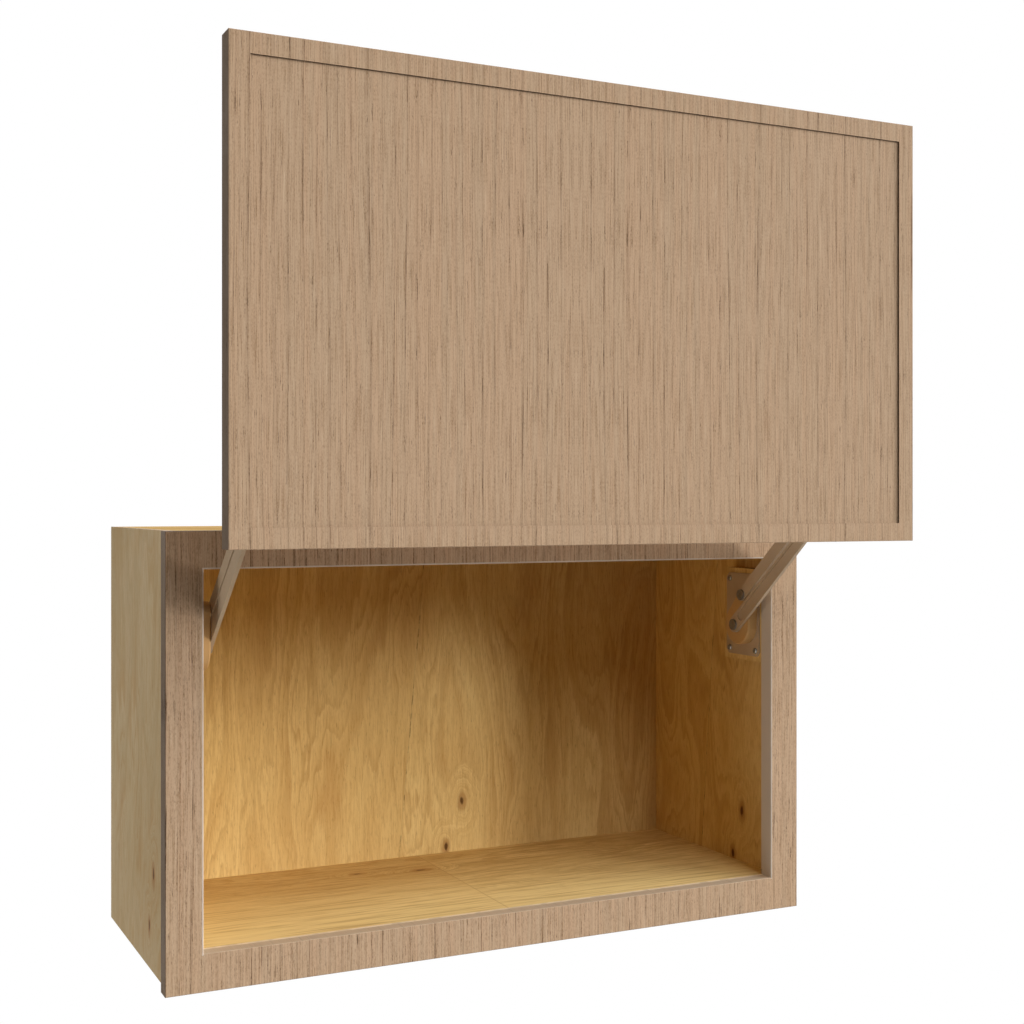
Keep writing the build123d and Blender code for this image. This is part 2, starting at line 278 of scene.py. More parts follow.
figure = {
    "seedAlong": 0.7,  # how far a seed shifts the figure along the grain as well
    "field": ((8.0, 8.0, 1.7), 2.0, 0.4, 0.3),
    "fieldTurns": 10.0,
    "ripple": ((90.0, 90.0, 11.0), 3.0),
    "rippleReach": 0.55,
    "rings": ((1.0, 0.6), (3.4, 0.4)),  # turns and share of the wide and the narrow rings
    "ringRise": (0.0, 0.8),
    "ringDrop": (0.82, 1.0),
    "lateRise": (0.6, 0.9),
    "lateDrop": (0.92, 0.99, 1.0, 0.0),
    "patches": ((14.0, 14.0, 6.0), 2.0),
    "patchFade": (0.36, 0.62, 0.15, 1.0),
    "fibre": ((900.0, 900.0, 55.0), 3.0, 0.75),
    "flecks": ((760.0, 760.0, 95.0), 2.0, 0.6),
    "fleckFade": (0.6, 0.76),
    "tone": ((6.0, 6.0, 1.6), 2.0),
}


def makeBirchFigure():
    # rotary cut birch along Z: growth ring contours, fibre and short flecks
    group, given, out = startGroup(
        "birchFigure",
        {"Vector": vectorSocket, "Seed": floatSocket, "Pull": floatSocket},
        ("Rings", "Late", "Fibre", "Flecks", "Tone"),
    )
    x, y, z = axes(group, given["Vector"])
    x = calc(group, "ADD", x, given["Seed"])
    z = calc(group, "ADD", z, calc(group, "MULTIPLY", given["Seed"], figure["seedAlong"]))
    place = joinAxes(group, x, y, z)
    field = noise(group, place, *figure["field"])
    field = calc(group, "ADD", calc(group, "MULTIPLY", field, figure["fieldTurns"]), given["Pull"])
    ripple = noise(group, place, *figure["ripple"])
    field = calc(group, "ADD", field, calc(group, "MULTIPLY", ripple, figure["rippleReach"]))
    rings, late = 0.0, 0.0
    for turns, share in figure["rings"]:
        turn = calc(group, "FRACT", calc(group, "MULTIPLY", field, turns))
        rise = fade(group, turn, *figure["ringRise"])
        drop = fade(group, turn, *figure["ringDrop"], share, 0.0)
        rings = calc(group, "ADD", rings, calc(group, "MULTIPLY", rise, drop))
        # narrow late wood at the end of each ring
        lateRise = fade(group, turn, *figure["lateRise"])
        line = calc(group, "MULTIPLY", lateRise, fade(group, turn, *figure["lateDrop"]))
        late = calc(group, "MAXIMUM", late, line)
    plug(group, rings, out["Rings"])
    patches = noise(group, place, *figure["patches"])
    plug(group, calc(group, "MULTIPLY", late, fade(group, patches, *figure["patchFade"])), out["Late"])
    plug(group, noise(group, place, *figure["fibre"]), out["Fibre"])
    flecks = noise(group, place, *figure["flecks"])
    plug(group, fade(group, flecks, *figure["fleckFade"]), out["Flecks"])
    plug(group, noise(group, place, *figure["tone"]), out["Tone"])
    return group


knotShape = {
    "squeeze": (1.0, 0.0, 0.5),  # twice as long along the grain, and the same all through the board
    "ragged": ((190.0, 190.0, 90.0), 3.0),
    "raggedReach": 1.3,
    "heartFade": (0.45, 1.0, 1.0, 0.0),
    "rimFade": (0.9, 2.6, 1.0, 0.0),
    "pullFade": (0.5, 7.0, 2.6, 0.0),
}


def makeKnotMark():
    # one knot: a dark heart, a brown rim, and how far it pulls the rings round it
    group, given, out = startGroup(
        "knotMark",
        {"Vector": vectorSocket, "Place": vectorSocket, "Radius": floatSocket},
        ("Heart", "Rim", "Pull"),
    )
    away = vectorCalc(group, "SUBTRACT", given["Vector"], given["Place"])["Vector"]
    away = vectorCalc(group, "MULTIPLY", away, knotShape["squeeze"])["Vector"]
    length = vectorCalc(group, "LENGTH", away)["Value"]
    far = calc(group, "DIVIDE", length, given["Radius"])
    ragged = noise(group, given["Vector"], *knotShape["ragged"])
    far = calc(group, "ADD", far, swing(group, ragged, knotShape["raggedReach"]))
    plug(group, fade(group, far, *knotShape["heartFade"]), out["Heart"])
    plug(group, fade(group, far, *knotShape["rimFade"]), out["Rim"])
    plug(group, fade(group, far, *knotShape["pullFade"]), out["Pull"])
    return group


plyCut = {
    "ragged": ((30.0, 30.0, 30.0), 2.0),
    "raggedReach": 0.3,
    "everySecond": 0.5,
    "seamSpan": 0.5,
    "glueFade": (0.03, 0.12, 1.0, 0.0),
    "fibre": ((900.0, 900.0, 900.0), 2.0),
}


def makePlyLayers():
    # cut edge of plywood: Depth counts through the thickness from 0 to 1
    group, given, out = startGroup(
        "plyLayers",
        {"Vector": vectorSocket, "Depth": floatSocket, "Layers": floatSocket},
        ("Layer", "Glue", "Fibre"),
    )
    ragged = noise(group, given["Vector"], *plyCut["ragged"])
    count = calc(group, "MULTIPLY", given["Depth"], given["Layers"])
    count = calc(group, "ADD", count, swing(group, ragged, plyCut["raggedReach"]))
    pair = calc(group, "FRACT", calc(group, "MULTIPLY", count, plyCut["everySecond"]))
    plug(group, calc(group, "GREATER_THAN", pair, plyCut["everySecond"]), out["Layer"])
    nearest = calc(group, "PINGPONG", count, plyCut["seamSpan"])
    plug(group, fade(group, nearest, *plyCut["glueFade"]), out["Glue"])
    plug(group, noise(group, given["Vector"], *plyCut["fibre"]), out["Fibre"])
    return group


handled = {
    "smudge": ((7.0, 7.0, 7.0), 4.0, 0.6),
    "scuff": ((140.0, 140.0, 22.0), 3.0, 0.6, 0.6),
    "scuffFade": (0.66, 0.78),
    "where": ((3.0, 3.0, 3.0), 2.0),
    "whereFade": (0.5, 0.7),
}


def makeHandling():
    # soft smudges and the odd scuff that every surface picks up
    group, given, out = startGroup("handling", {"Vector": vectorSocket}, ("Smudge", "Scuff"))
    plug(group, noise(group, given["Vector"], *handled["smudge"]), out["Smudge"])
    scuff = noise(group, given["Vector"], *handled["scuff"])
    where = noise(group, given["Vector"], *handled["where"])
    scuff = fade(group, scuff, *handled["scuffFade"])
    plug(group, calc(group, "MULTIPLY", scuff, fade(group, where, *handled["whereFade"])), out["Scuff"])
    return group


facing = makeFacing()
veneerGrain = makeVeneerGrain()
birchFigure = makeBirchFigure()
knotMark = makeKnotMark()
plyLayers = makePlyLayers()
handling = makeHandling()
print("shared effects ready:", len(bpy.data.node_groups))


# the opening in the face frame, which the woods round it follow

opening = {
    "half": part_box("frame_stile_right")[0].x,
    "low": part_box("bottom_panel")[1].z,
    "high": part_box("frame_top_rail")[0].z,
    "front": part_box("frame_stile_right")[0].y,
    "sill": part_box("frame_bottom_rail")[1].y,  # where the lower rail ends and the floor starts
}


# birch plywood of the case

birch = {
    "tones": {"light": srgb(236, 207, 140), "dark": srgb(214, 175, 108), "deep": srgb(184, 135, 74)},
    "toneFade": (0.35, 0.7, 0.0, 0.4),
    "ringShare": 0.6,
    "lateShare": 0.38,
    "fibreFade": (0.4, 0.8, 0.0, 0.65),
    "fleck": srgb(140, 96, 48),
    "fleckShare": 0.45,
    "rim": srgb(163, 111, 55),
    "rimShare": 0.6,
    "heart": srgb(84, 50, 22),
    "heartShare": 0.9,
    "core": srgb(205, 172, 122),
    "crossCore": srgb(160, 122, 78),
    "coreFade": (0.4, 0.75, 0.0, 0.5),
    "glue": srgb(96, 70, 44),
    "glueShare": 0.7,
    "scuffShare": 0.12,
    "smudge": (0.3, 0.7),
    "roughSpread": 0.14,
    "gloss": 0.08,
    "bump": (0.00012, 0.5),
}


def birchColour(tree, place, seed, knots, tones):
    pull, heart, rim = 0.0, 0.0, 0.0
    for spot, radius in knots:
        knot = useGroup(tree, knotMark, Vector=place, Place=spot, Radius=radius)
        pull = calc(tree, "ADD", pull, knot["Pull"])
        heart = calc(tree, "MAXIMUM", heart, knot["Heart"])
        rim = calc(tree, "MAXIMUM", rim, knot["Rim"])
    grain = useGroup(tree, birchFigure, Vector=place, Seed=seed, Pull=pull)
    colour = blend(tree, fade(tree, grain["Tone"], *birch["toneFade"]), tones["light"], tones["dark"])
    colour = tint(tree, grain["Rings"], birch["ringShare"], colour, tones["dark"])
    colour = tint(tree, grain["Late"], birch["lateShare"], colour, tones["deep"])
    colour = blend(tree, fade(tree, grain["Fibre"], *birch["fibreFade"]), colour, tones["deep"])
    colour = tint(tree, grain["Flecks"], birch["fleckShare"], colour, birch["fleck"])
    if knots:
        colour = tint(tree, rim, birch["rimShare"], colour, birch["rim"])
        colour = tint(tree, heart, birch["heartShare"], colour, birch["heart"])
    return colour, grain


def leafSeed(tree, off, seed):
    # the veneer leaf beyond a joint has a figure of its own
    return calc(tree, "MULTIPLY", calc(tree, "GREATER_THAN", off, 0.0), seed)


leafJoint = {
    "width": 0.0011,
    "darkShare": 0.3,  # of the width, before it fades
    "wobble": ((25.0, 25.0, 12.0), 2.0),
    "wobbleReach": 0.003,
    "patches": ((20.0, 20.0, 85.0), 3.0),
    "patchFade": (0.48, 0.66, 0.1, 0.55),
}


def jointOff(tree, across, up, joint):
    # how far a point lies from a leaning joint between two veneer leaves
    start, lean = joint
    line = calc(tree, "MULTIPLY_ADD", up, lean, start)
    return calc(tree, "SUBTRACT", across, line)


def jointLine(tree, off, place):
    # the joint itself, open in short thin stretches
    width = leafJoint["width"]
    wobble = noise(tree, place, *leafJoint["wobble"])
    off = calc(tree, "ADD", off, swing(tree, wobble, leafJoint["wobbleReach"]))
    line = fade(tree, calc(tree, "ABSOLUTE", off), width * leafJoint["darkShare"], width, 1.0, 0.0)
    patches = noise(tree, place, *leafJoint["patches"])
    return calc(tree, "MULTIPLY", line, fade(tree, patches, *leafJoint["patchFade"]))


def throughBoard(tree, value, low, high):
    # 0 at one face of a board, 1 at the other
    return calc(tree, "DIVIDE", calc(tree, "SUBTRACT", value, low), high - low)


def plyEdge(tree, given, colour, edge, depth, layers):
    ply = useGroup(tree, plyLayers, Vector=given["Object"], Depth=depth, Layers=layers)
    cut = blend(tree, ply["Layer"], birch["core"], birch["crossCore"])
    cut = blend(tree, fade(tree, ply["Fibre"], *birch["coreFade"]), cut, birch["crossCore"])
    cut = tint(tree, ply["Glue"], birch["glueShare"], cut, birch["glue"])
    return blend(tree, edge, colour, cut)


def finishBirch(tree, shader, given, colour, grain, roughness, gloss):
    marks = useGroup(tree, handling, Vector=given["Object"])
    colour = tint(tree, marks["Scuff"], birch["scuffShare"], colour, birch["glue"])
    plug(tree, colour, shader.inputs["Base Color"])
    rough = fade(tree, marks["Smudge"], *birch["smudge"], roughness, roughness + birch["roughSpread"])
    plug(tree, rough, shader.inputs["Roughness"])
    shader.inputs["Specular IOR Level"].default_value = gloss
    height = calc(tree, "SUBTRACT", grain["Fibre"], grain["Flecks"])
    addBump(tree, shader, height, *birch["bump"])


backBoard = {
    "joint": (0.0126, 0.0922),  # x at z = 0, and how far it leans
    "leafSeed": 3.3,
    "layers": 3.0,
    "roughness": 0.55,
    "knots": [((0.066, 0, -0.3016), 0.0038), ((0.0436, 0, -0.3585), 0.0032)],  # place and radius
}


def makeBirchBack():
    material, tree, shader, given = startMaterial("birchBack")
    low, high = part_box("back_panel")
    x, y, z = axes(tree, given["Object"])
    off = jointOff(tree, x, z, backBoard["joint"])
    seed = leafSeed(tree, off, backBoard["leafSeed"])
    place = given["Object"]
    colour, grain = birchColour(tree, place, seed, backBoard["knots"], birch["tones"])
    colour = blend(tree, jointLine(tree, off, place), colour, birch["heart"])
    faces = useGroup(tree, facing, Normal=given["Normal"])
    depth = throughBoard(tree, y, low.y, high.y)
    edge = most(tree, faces["Side"], faces["Top"])
    colour = plyEdge(tree, given, colour, edge, depth, backBoard["layers"])
    finishBirch(tree, shader, given, colour, grain, backBoard["roughness"], birch["gloss"])
    return material


board = {
    "joint": 0.003,
    "jointFade": (0.0003, 0.0012, 0.3, 0.0),
    "leafSeed": 2.1,
    "leafTone": 0.17,  # how much darker the left leaf is
    # painted light: the pale colour the floor takes towards the opening
    "paintedLight": srgb(253, 226, 158),
    "paintedLightReach": 0.2,  # how far in from the opening the floor is paled by painted light
    "streaks": ((230.0, 230.0, 9.0), 3.0, 0.6),
    "streakFade": (0.44, 0.7, 0.0, 0.55),
    "layers": 9.0,
    "roughness": 0.55,
}
floorBoard = {
    # the floor's tones are set darker than the top board's as painted shade, which painted light lifts
    # towards the opening
    "tones": {"light": srgb(231, 200, 134), "dark": srgb(208, 169, 102), "deep": srgb(172, 127, 64)},
    "seed": 7.4,
    "knots": [((-0.0778, 0, -0.0974), 0.0028), ((-0.0935, 0, -0.02), 0.004)],
    "paintedLightShare": 0.9,
    "gloss": birch["gloss"],
}
topBoard = {
    "tones": {"light": srgb(245, 214, 150), "dark": srgb(221, 183, 117), "deep": srgb(186, 140, 78)},
    "seed": 9.6,
    "knots": [],
    "paintedLightShare": 0.0,
    "gloss": 0.0,  # left unfinished on top
}


def boardColour(tree, given, own):
    # top and bottom boards: grain left to right, two leaves
    x, y, z = axes(tree, given["Object"])
    off = calc(tree, "SUBTRACT", x, board["joint"])
    leaf = leafSeed(tree, off, board["leafSeed"])
    place = joinAxes(tree, y, z, x)
    seed = calc(tree, "ADD", own["seed"], leaf)
    colour, grain = birchColour(tree, place, seed, own["knots"], own["tones"])
    left = calc(tree, "LESS_THAN", off, 0.0)
    colour = tint(tree, left, board["leafTone"], colour, birch["tones"]["deep"])
    # painted light: the floor is paled towards the opening, most at its front edge
    paintedLightMask = fade(tree, y, opening["sill"], opening["sill"] + board["paintedLightReach"], own["paintedLightShare"], 0.0)
    colour = blend(tree, paintedLightMask, colour, board["paintedLight"])
    streaks = noise(tree, place, *board["streaks"])
    colour = blend(tree, fade(tree, streaks, *board["streakFade"]), colour, own["tones"]["deep"])
    line = fade(tree, calc(tree, "ABSOLUTE", off), *board["jointFade"])
    return blend(tree, line, colour, birch["rim"]), grain


def makeBirchBoard(name, node, own):
    material, tree, shader, given = startMaterial(name)
    low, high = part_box(node)
    z = axes(tree, given["Object"])["Z"]
    colour, grain = boardColour(tree, given, own)
    faces = useGroup(tree, facing, Normal=given["Normal"])
    depth = throughBoard(tree, z, low.z, high.z)
    edge = most(tree, faces["Side"], faces["Front"])
    colour = plyEdge(tree, given, colour, edge, depth, board["layers"])
    finishBirch(tree, shader, given, colour, grain, board["roughness"], own["gloss"])
    return material


sideBoard = {
    "outside": srgb(205, 183, 143),
    "outsideDark": srgb(184, 160, 120),
    "joint": (-0.1696, -0.0950),  # y at z = 0, and how far it leans
    "outsideJointFade": (0.0, 1.0, 1.0, 0.15),  # the joint hardly shows outside
    "seed": 5.2,
    "leafSeed": 1.7,
    "layers": 9.0,
    "roughness": 0.58,
    "knots": [((-0.2239, 0, -0.3025), 0.0042), ((-0.2047, 0, -0.3591), 0.0036)],
}


def makeBirchSide():
    # warm face inside, paler and greener face outside
    material, tree, shader, given = startMaterial("birchSide")
    low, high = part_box("side_panel_right")
    x, y, z = axes(tree, given["Object"])
    through = calc(tree, "ABSOLUTE", x)
    outside = calc(tree, "GREATER_THAN", through, (low.x + high.x) / 2)
    place = joinAxes(tree, y, x, z)
    off = jointOff(tree, y, z, sideBoard["joint"])
    seed = calc(tree, "ADD", sideBoard["seed"], leafSeed(tree, off, sideBoard["leafSeed"]))
    tones = {
        "light": blend(tree, outside, birch["tones"]["light"], sideBoard["outside"]),
        "dark": blend(tree, outside, birch["tones"]["dark"], sideBoard["outsideDark"]),
        "deep": birch["tones"]["deep"],
    }
    colour, grain = birchColour(tree, place, seed, sideBoard["knots"], tones)
    line = jointLine(tree, off, place)
    line = calc(tree, "MULTIPLY", line, fade(tree, outside, *sideBoard["outsideJointFade"]))
    colour = blend(tree, line, colour, birch["heart"])
    faces = useGroup(tree, facing, Normal=given["Normal"])
    depth = throughBoard(tree, through, low.x, high.x)
    edge = most(tree, faces["Top"], faces["Front"])
    colour = plyEdge(tree, given, colour, edge, depth, sideBoard["layers"])
    finishBirch(tree, shader, given, colour, grain, sideBoard["roughness"], birch["gloss"])
    return material


pine = {
    "tones": {"light": srgb(226, 195, 146), "dark": srgb(204, 162, 108), "deep": srgb(182, 134, 80)},
    "seed": 12.3,
    "roughness": 0.6,
    "knots": [((0.018, 0, -0.21), 0.006), ((-0.012, 0, 0.13), 0.005), ((-0.34, 0, 0.05), 0.006)],
}


def makePineRail():
    # planed softwood, grain left to right
    material, tree, shader, given = startMaterial("pineRail")
    x, y, z = axes(tree, given["Object"])
    place = joinAxes(tree, z, y, x)
    colour, grain = birchColour(tree, place, pine["seed"], pine["knots"], pine["tones"])
    finishBirch(tree, shader, given, colour, grain, pine["roughness"], birch["gloss"])
    return material


# oak veneer of the door and the face frame

oak = {
    "warm": srgb(192, 161, 131),
    "cool": srgb(189, 161, 132),
    "bandFade": (0.38, 0.62),
    "shade": srgb(150, 119, 88),
    "stripeFade": (0.42, 0.77, 0.0, 0.9),
    "ray": srgb(218, 195, 168),
    "rayShare": 0.6,
    "line": srgb(114, 83, 58),
    "lineShare": 0.88,
    "pore": srgb(86, 63, 44),
    "poreShare": 0.8,
    "roughFade": (0.3, 0.7, 0.5, 0.62),
    "poreRough": 0.15,
    "gloss": 0.06,
    "stripeHeight": 0.4,
    "bump": (0.00025, 0.6),
}


def oakColour(tree, place, seed):
    grain = useGroup(tree, veneerGrain, Vector=place, Seed=seed)
    colour = blend(tree, fade(tree, grain["Bands"], *oak["bandFade"]), oak["warm"], oak["cool"])
    colour = blend(tree, fade(tree, grain["Stripes"], *oak["stripeFade"]), colour, oak["shade"])
    colour = tint(tree, grain["Rays"], oak["rayShare"], colour, oak["ray"])
    colour = tint(tree, grain["Lines"], oak["lineShare"], colour, oak["line"])
    colour = tint(tree, grain["Pores"], oak["poreShare"], colour, oak["pore"])
    return colour, grain


def darken(tree, colour, where, tone):
    return tint(tree, where, 1.0 - tone, colour, black)


def finishOak(tree, shader, given, colour, grain):
    marks = useGroup(tree, handling, Vector=given["Object"])
    plug(tree, colour, shader.inputs["Base Color"])
    rough = fade(tree, marks["Smudge"], *oak["roughFade"])
    rough = calc(tree, "ADD", rough, calc(tree, "MULTIPLY", grain["Pores"], oak["poreRough"]))
    plug(tree, rough, shader.inputs["Roughness"])
    shader.inputs["Specular IOR Level"].default_value = oak["gloss"]
    stripes = calc(tree, "MULTIPLY", grain["Stripes"], oak["stripeHeight"])
    addBump(tree, shader, calc(tree, "SUBTRACT", stripes, grain["Pores"]), *oak["bump"])


doorVeneer = {"joint": -0.0362, "seed": 0.31, "edgeStainAndShade": 0.3}


def makeOakDoor():
    material, tree, shader, given = startMaterial("oakDoor")
    x, y, z = axes(tree, given["Object"])
    x = calc(tree, "ABSOLUTE", calc(tree, "SUBTRACT", x, doorVeneer["joint"]))  # book matched leaves
    faces = useGroup(tree, facing, Normal=given["Normal"])
    notFront = calc(tree, "SUBTRACT", 1.0, faces["Front"])
    y = calc(tree, "MULTIPLY", y, notFront)  # one leaf over panel and frame
    colour, grain = oakColour(tree, joinAxes(tree, x, y, z), doorVeneer["seed"])
    # the side and top faces are darkened: a darker edge stain, and painted shade on them
    colour = darken(tree, colour, most(tree, faces["Side"], faces["Top"]), doorVeneer["edgeStainAndShade"])
    finishOak(tree, shader, given, colour, grain)
    return material


frameVeneer = {
    "seed": 2.7,
    "edgeStainAndShade": 0.36,
    "skin": 0.0004,  # how near a face counts as on it
    "arrisWearAndHighlight": srgb(206, 194, 180),
    "arrisWidth": 0.0019,
    "arrisFull": 0.6,  # share of the width before it fades
    "arrisDepth": (0.0007, 0.0012),
    "worn": ((60.0, 60.0, 60.0), 3.0),
    "wornFade": (0.3, 0.5, 0.45, 0.9),
    "jambPaintedLight": 0.9,  # how far the opening's inner faces go towards the pale arris colour, as painted light
}


def frameColour(tree, given, place):
    # oak with darker outer faces: a darker edge stain, and painted shade
    colour, grain = oakColour(tree, place, frameVeneer["seed"])
    spot, skin = axes(tree, given["Object"]), frameVeneer["skin"]
    low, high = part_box("frame_stile_left")[0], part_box("frame_stile_right")[1]
    outer = most(
        tree,
        calc(tree, "GREATER_THAN", calc(tree, "ABSOLUTE", spot["X"]), high.x - skin),
        calc(tree, "GREATER_THAN", spot["Z"], high.z - skin),
        calc(tree, "LESS_THAN", spot["Z"], low.z + skin),
    )
    return darken(tree, colour, outer, frameVeneer["edgeStainAndShade"]), grain


def wornAndPaintedLightOpening(tree, given, colour):
    # pale along the opening's arris: sanded wear and a painted highlight; its inner faces carry painted
    # light
    x, y, z = axes(tree, given["Object"])
    middle, reach = (opening["low"] + opening["high"]) / 2, (opening["high"] - opening["low"]) / 2
    beyondSide = calc(tree, "SUBTRACT", calc(tree, "ABSOLUTE", x), opening["half"])
    beyondTop = calc(tree, "SUBTRACT", calc(tree, "ABSOLUTE", calc(tree, "SUBTRACT", z, middle)), reach)
    beyond = calc(tree, "MAXIMUM", beyondSide, beyondTop)
    width = frameVeneer["arrisWidth"]
    near = fade(tree, beyond, width * frameVeneer["arrisFull"], width, 1.0, 0.0)
    shallow, deep = [opening["front"] + depth for depth in frameVeneer["arrisDepth"]]
    front = fade(tree, y, shallow, deep, 1.0, 0.0)
    worn = noise(tree, given["Object"], *frameVeneer["worn"])
    # painted highlight along the opening's front arris, broken up by wear
    arrisWearAndHighlight = calc(tree, "MULTIPLY", near, front)
    arrisWearAndHighlight = calc(tree, "MULTIPLY", arrisWearAndHighlight, fade(tree, worn, *frameVeneer["wornFade"]))
    # painted light: the opening's inner faces are paled
    jambPaintedLight = calc(tree, "LESS_THAN", beyond, frameVeneer["skin"])
    jambPaintedLight = calc(tree, "MULTIPLY", jambPaintedLight, frameVeneer["jambPaintedLight"])
    return blend(tree, calc(tree, "MAXIMUM", arrisWearAndHighlight, jambPaintedLight), colour, frameVeneer["arrisWearAndHighlight"])


def makeOakFrame():
    material, tree, shader, given = startMaterial("oakFrame")
    colour, grain = frameColour(tree, given, given["Object"])
    finishOak(tree, shader, given, wornAndPaintedLightOpening(tree, given, colour), grain)
    return material


sill = {
    "sandedAndPaintedLight": srgb(222, 204, 178),
    "sandingAndPaintedLight": 0.6,
    "lip": srgb(254, 234, 205),
    "lipWidth": 0.005,
    "lipSoft": 0.7,  # share of the width where it is at its palest
    "worn": ((70.0, 70.0, 70.0), 3.0),
    "wornFade": (0.36, 0.56, 0.5, 1.0),
}


def makeOakSill():
    # the lower rail: grain runs over its upper face, paled by sanding and painted light, up to a pale lip
    # at the floor
    material, tree, shader, given = startMaterial("oakSill")
    faces = useGroup(tree, facing, Normal=given["Normal"])
    x, y, z = axes(tree, given["Object"])
    flat = calc(tree, "MULTIPLY", y, calc(tree, "SUBTRACT", 1.0, faces["Top"]))
    colour, grain = frameColour(tree, given, joinAxes(tree, x, flat, z))
    upper = calc(tree, "GREATER_THAN", z, opening["low"] - frameVeneer["skin"])
    # the upper face is paled: sanding, and painted light on this upward face
    colour = tint(tree, upper, sill["sandingAndPaintedLight"], colour, sill["sandedAndPaintedLight"])
    worn = noise(tree, given["Object"], *sill["worn"])
    width = sill["lipWidth"]
    lip = fade(tree, y, opening["sill"] - width, opening["sill"] - width * sill["lipSoft"])
    lip = calc(tree, "MULTIPLY", lip, fade(tree, worn, *sill["wornFade"]))
    colour = tint(tree, upper, lip, colour, sill["lip"])
    finishOak(tree, shader, given, colour, grain)
    return material


# lift fittings

paint = {
    "colour": srgb(192, 168, 138),
    "deep": srgb(178, 153, 123),
    "deepFade": (0.35, 0.65),
    "bare": srgb(196, 192, 186),
    "speck": ((2400.0, 2400.0, 2400.0), 1.0),
    "speckFade": (0.5, 0.75, 0.0, 0.22),
    "scuffShare": 0.5,
    "roughFade": (0.3, 0.7, 0.4, 0.54),
    "gloss": 0.25,
    "peel": ((620.0, 620.0, 620.0), 2.0),
    "bump": (0.0002, 0.35),
}


def makeLiftPaint():
    # satin powder coat, rubbed to the metal where it is handled
    material, tree, shader, given = startMaterial("liftPaint")
    marks = useGroup(tree, handling, Vector=given["Object"])
    peel = noise(tree, given["Object"], *paint["peel"])
    speck = noise(tree, given["Object"], *paint["speck"])
    colour = blend(tree, fade(tree, marks["Smudge"], *paint["deepFade"]), paint["colour"], paint["deep"])
    colour = blend(tree, fade(tree, speck, *paint["speckFade"]), colour, paint["bare"])
    colour = tint(tree, marks["Scuff"], paint["scuffShare"], colour, paint["bare"])
    plug(tree, colour, shader.inputs["Base Color"])
    plug(tree, fade(tree, marks["Smudge"], *paint["roughFade"]), shader.inputs["Roughness"])
    shader.inputs["Specular IOR Level"].default_value = paint["gloss"]
    addBump(tree, shader, peel, *paint["bump"])
    return material


cover = {
    "colour": srgb(206, 164, 106),
    "deep": srgb(190, 147, 90),
    "deepFade": (0.35, 0.65),
    "spark": ((1500.0, 1500.0, 1500.0), 3.0, 0.6),
    "sparkFade": (0.45, 0.8, 0.0, 0.18),
    "roughFade": (0.3, 0.7, 0.5, 0.64),
    "bump": (0.0001, 0.5),
}


def makeCoverPlastic():
    # moulded cap with a fine spark-eroded grain
    material, tree, shader, given = startMaterial("coverPlastic")
    marks = useGroup(tree, handling, Vector=given["Object"])
    spark = noise(tree, given["Object"], *cover["spark"])
    colour = blend(tree, fade(tree, marks["Smudge"], *cover["deepFade"]), cover["colour"], cover["deep"])
    colour = blend(tree, fade(tree, spark, *cover["sparkFade"]), colour, birch["fleck"])
    plug(tree, colour, shader.inputs["Base Color"])
    plug(tree, fade(tree, spark, *cover["roughFade"]), shader.inputs["Roughness"])
    addBump(tree, shader, spark, *cover["bump"])
    return material


plating = {
    "colour": srgb(152, 152, 148),
    "warm": srgb(142, 137, 124),
    "bloom": ((160.0, 160.0, 160.0), 3.0),
    "warmFade": (0.4, 0.65),
    "roughFade": (0.3, 0.7, 0.34, 0.48),
    "scuffRough": 0.1,
    "turning": ((3200.0, 380.0, 380.0), 2.0),
    "bump": (0.00006, 0.4),
}


def makePlatedSteel():
    # zinc plated studs, pins and screws with turning marks
    material, tree, shader, given = startMaterial("platedSteel")
    shader.inputs["Metallic"].default_value = 1.0
    marks = useGroup(tree, handling, Vector=given["Object"])
    turning = noise(tree, given["Object"], *plating["turning"])
    bloom = noise(tree, given["Object"], *plating["bloom"])
    colour = blend(tree, fade(tree, bloom, *plating["warmFade"]), plating["colour"], plating["warm"])
    plug(tree, colour, shader.inputs["Base Color"])
    rough = fade(tree, bloom, *plating["roughFade"])
    rough = calc(tree, "ADD", rough, calc(tree, "MULTIPLY", marks["Scuff"], plating["scuffRough"]))
    plug(tree, rough, shader.inputs["Roughness"])
    addBump(tree, shader, turning, *plating["bump"])
    return material


bluing = {
    "colour": srgb(104, 108, 118),
    "blue": srgb(74, 82, 104),
    "heat": ((70.0, 70.0, 70.0), 3.0),
    "heatFade": (0.4, 0.65),
    "rolled": ((1800.0, 90.0, 90.0), 2.0),
    "roughFade": (0.3, 0.7, 0.3, 0.46),
    "bump": (0.00005, 0.4),
}


def makeSpringStrip():
    # rolled and blued spring strip
    material, tree, shader, given = startMaterial("springStrip")
    shader.inputs["Metallic"].default_value = 1.0
    rolled = noise(tree, given["Object"], *bluing["rolled"])
    heat = noise(tree, given["Object"], *bluing["heat"])
    colour = blend(tree, fade(tree, heat, *bluing["heatFade"]), bluing["colour"], bluing["blue"])
    plug(tree, colour, shader.inputs["Base Color"])
    plug(tree, fade(tree, rolled, *bluing["roughFade"]), shader.inputs["Roughness"])
    addBump(tree, shader, rolled, *bluing["bump"])
    return material


button = {
    "colour": srgb(236, 236, 230),
    "dull": srgb(214, 212, 202),
    "clearness": 0.55,
    "lightBend": 1.49,
    "dust": ((900.0, 900.0, 900.0), 3.0),
    "dustFade": (0.45, 0.7),
    "roughFade": (0.35, 0.7, 0.16, 0.42),
    "bump": (0.00005, 0.3),
}


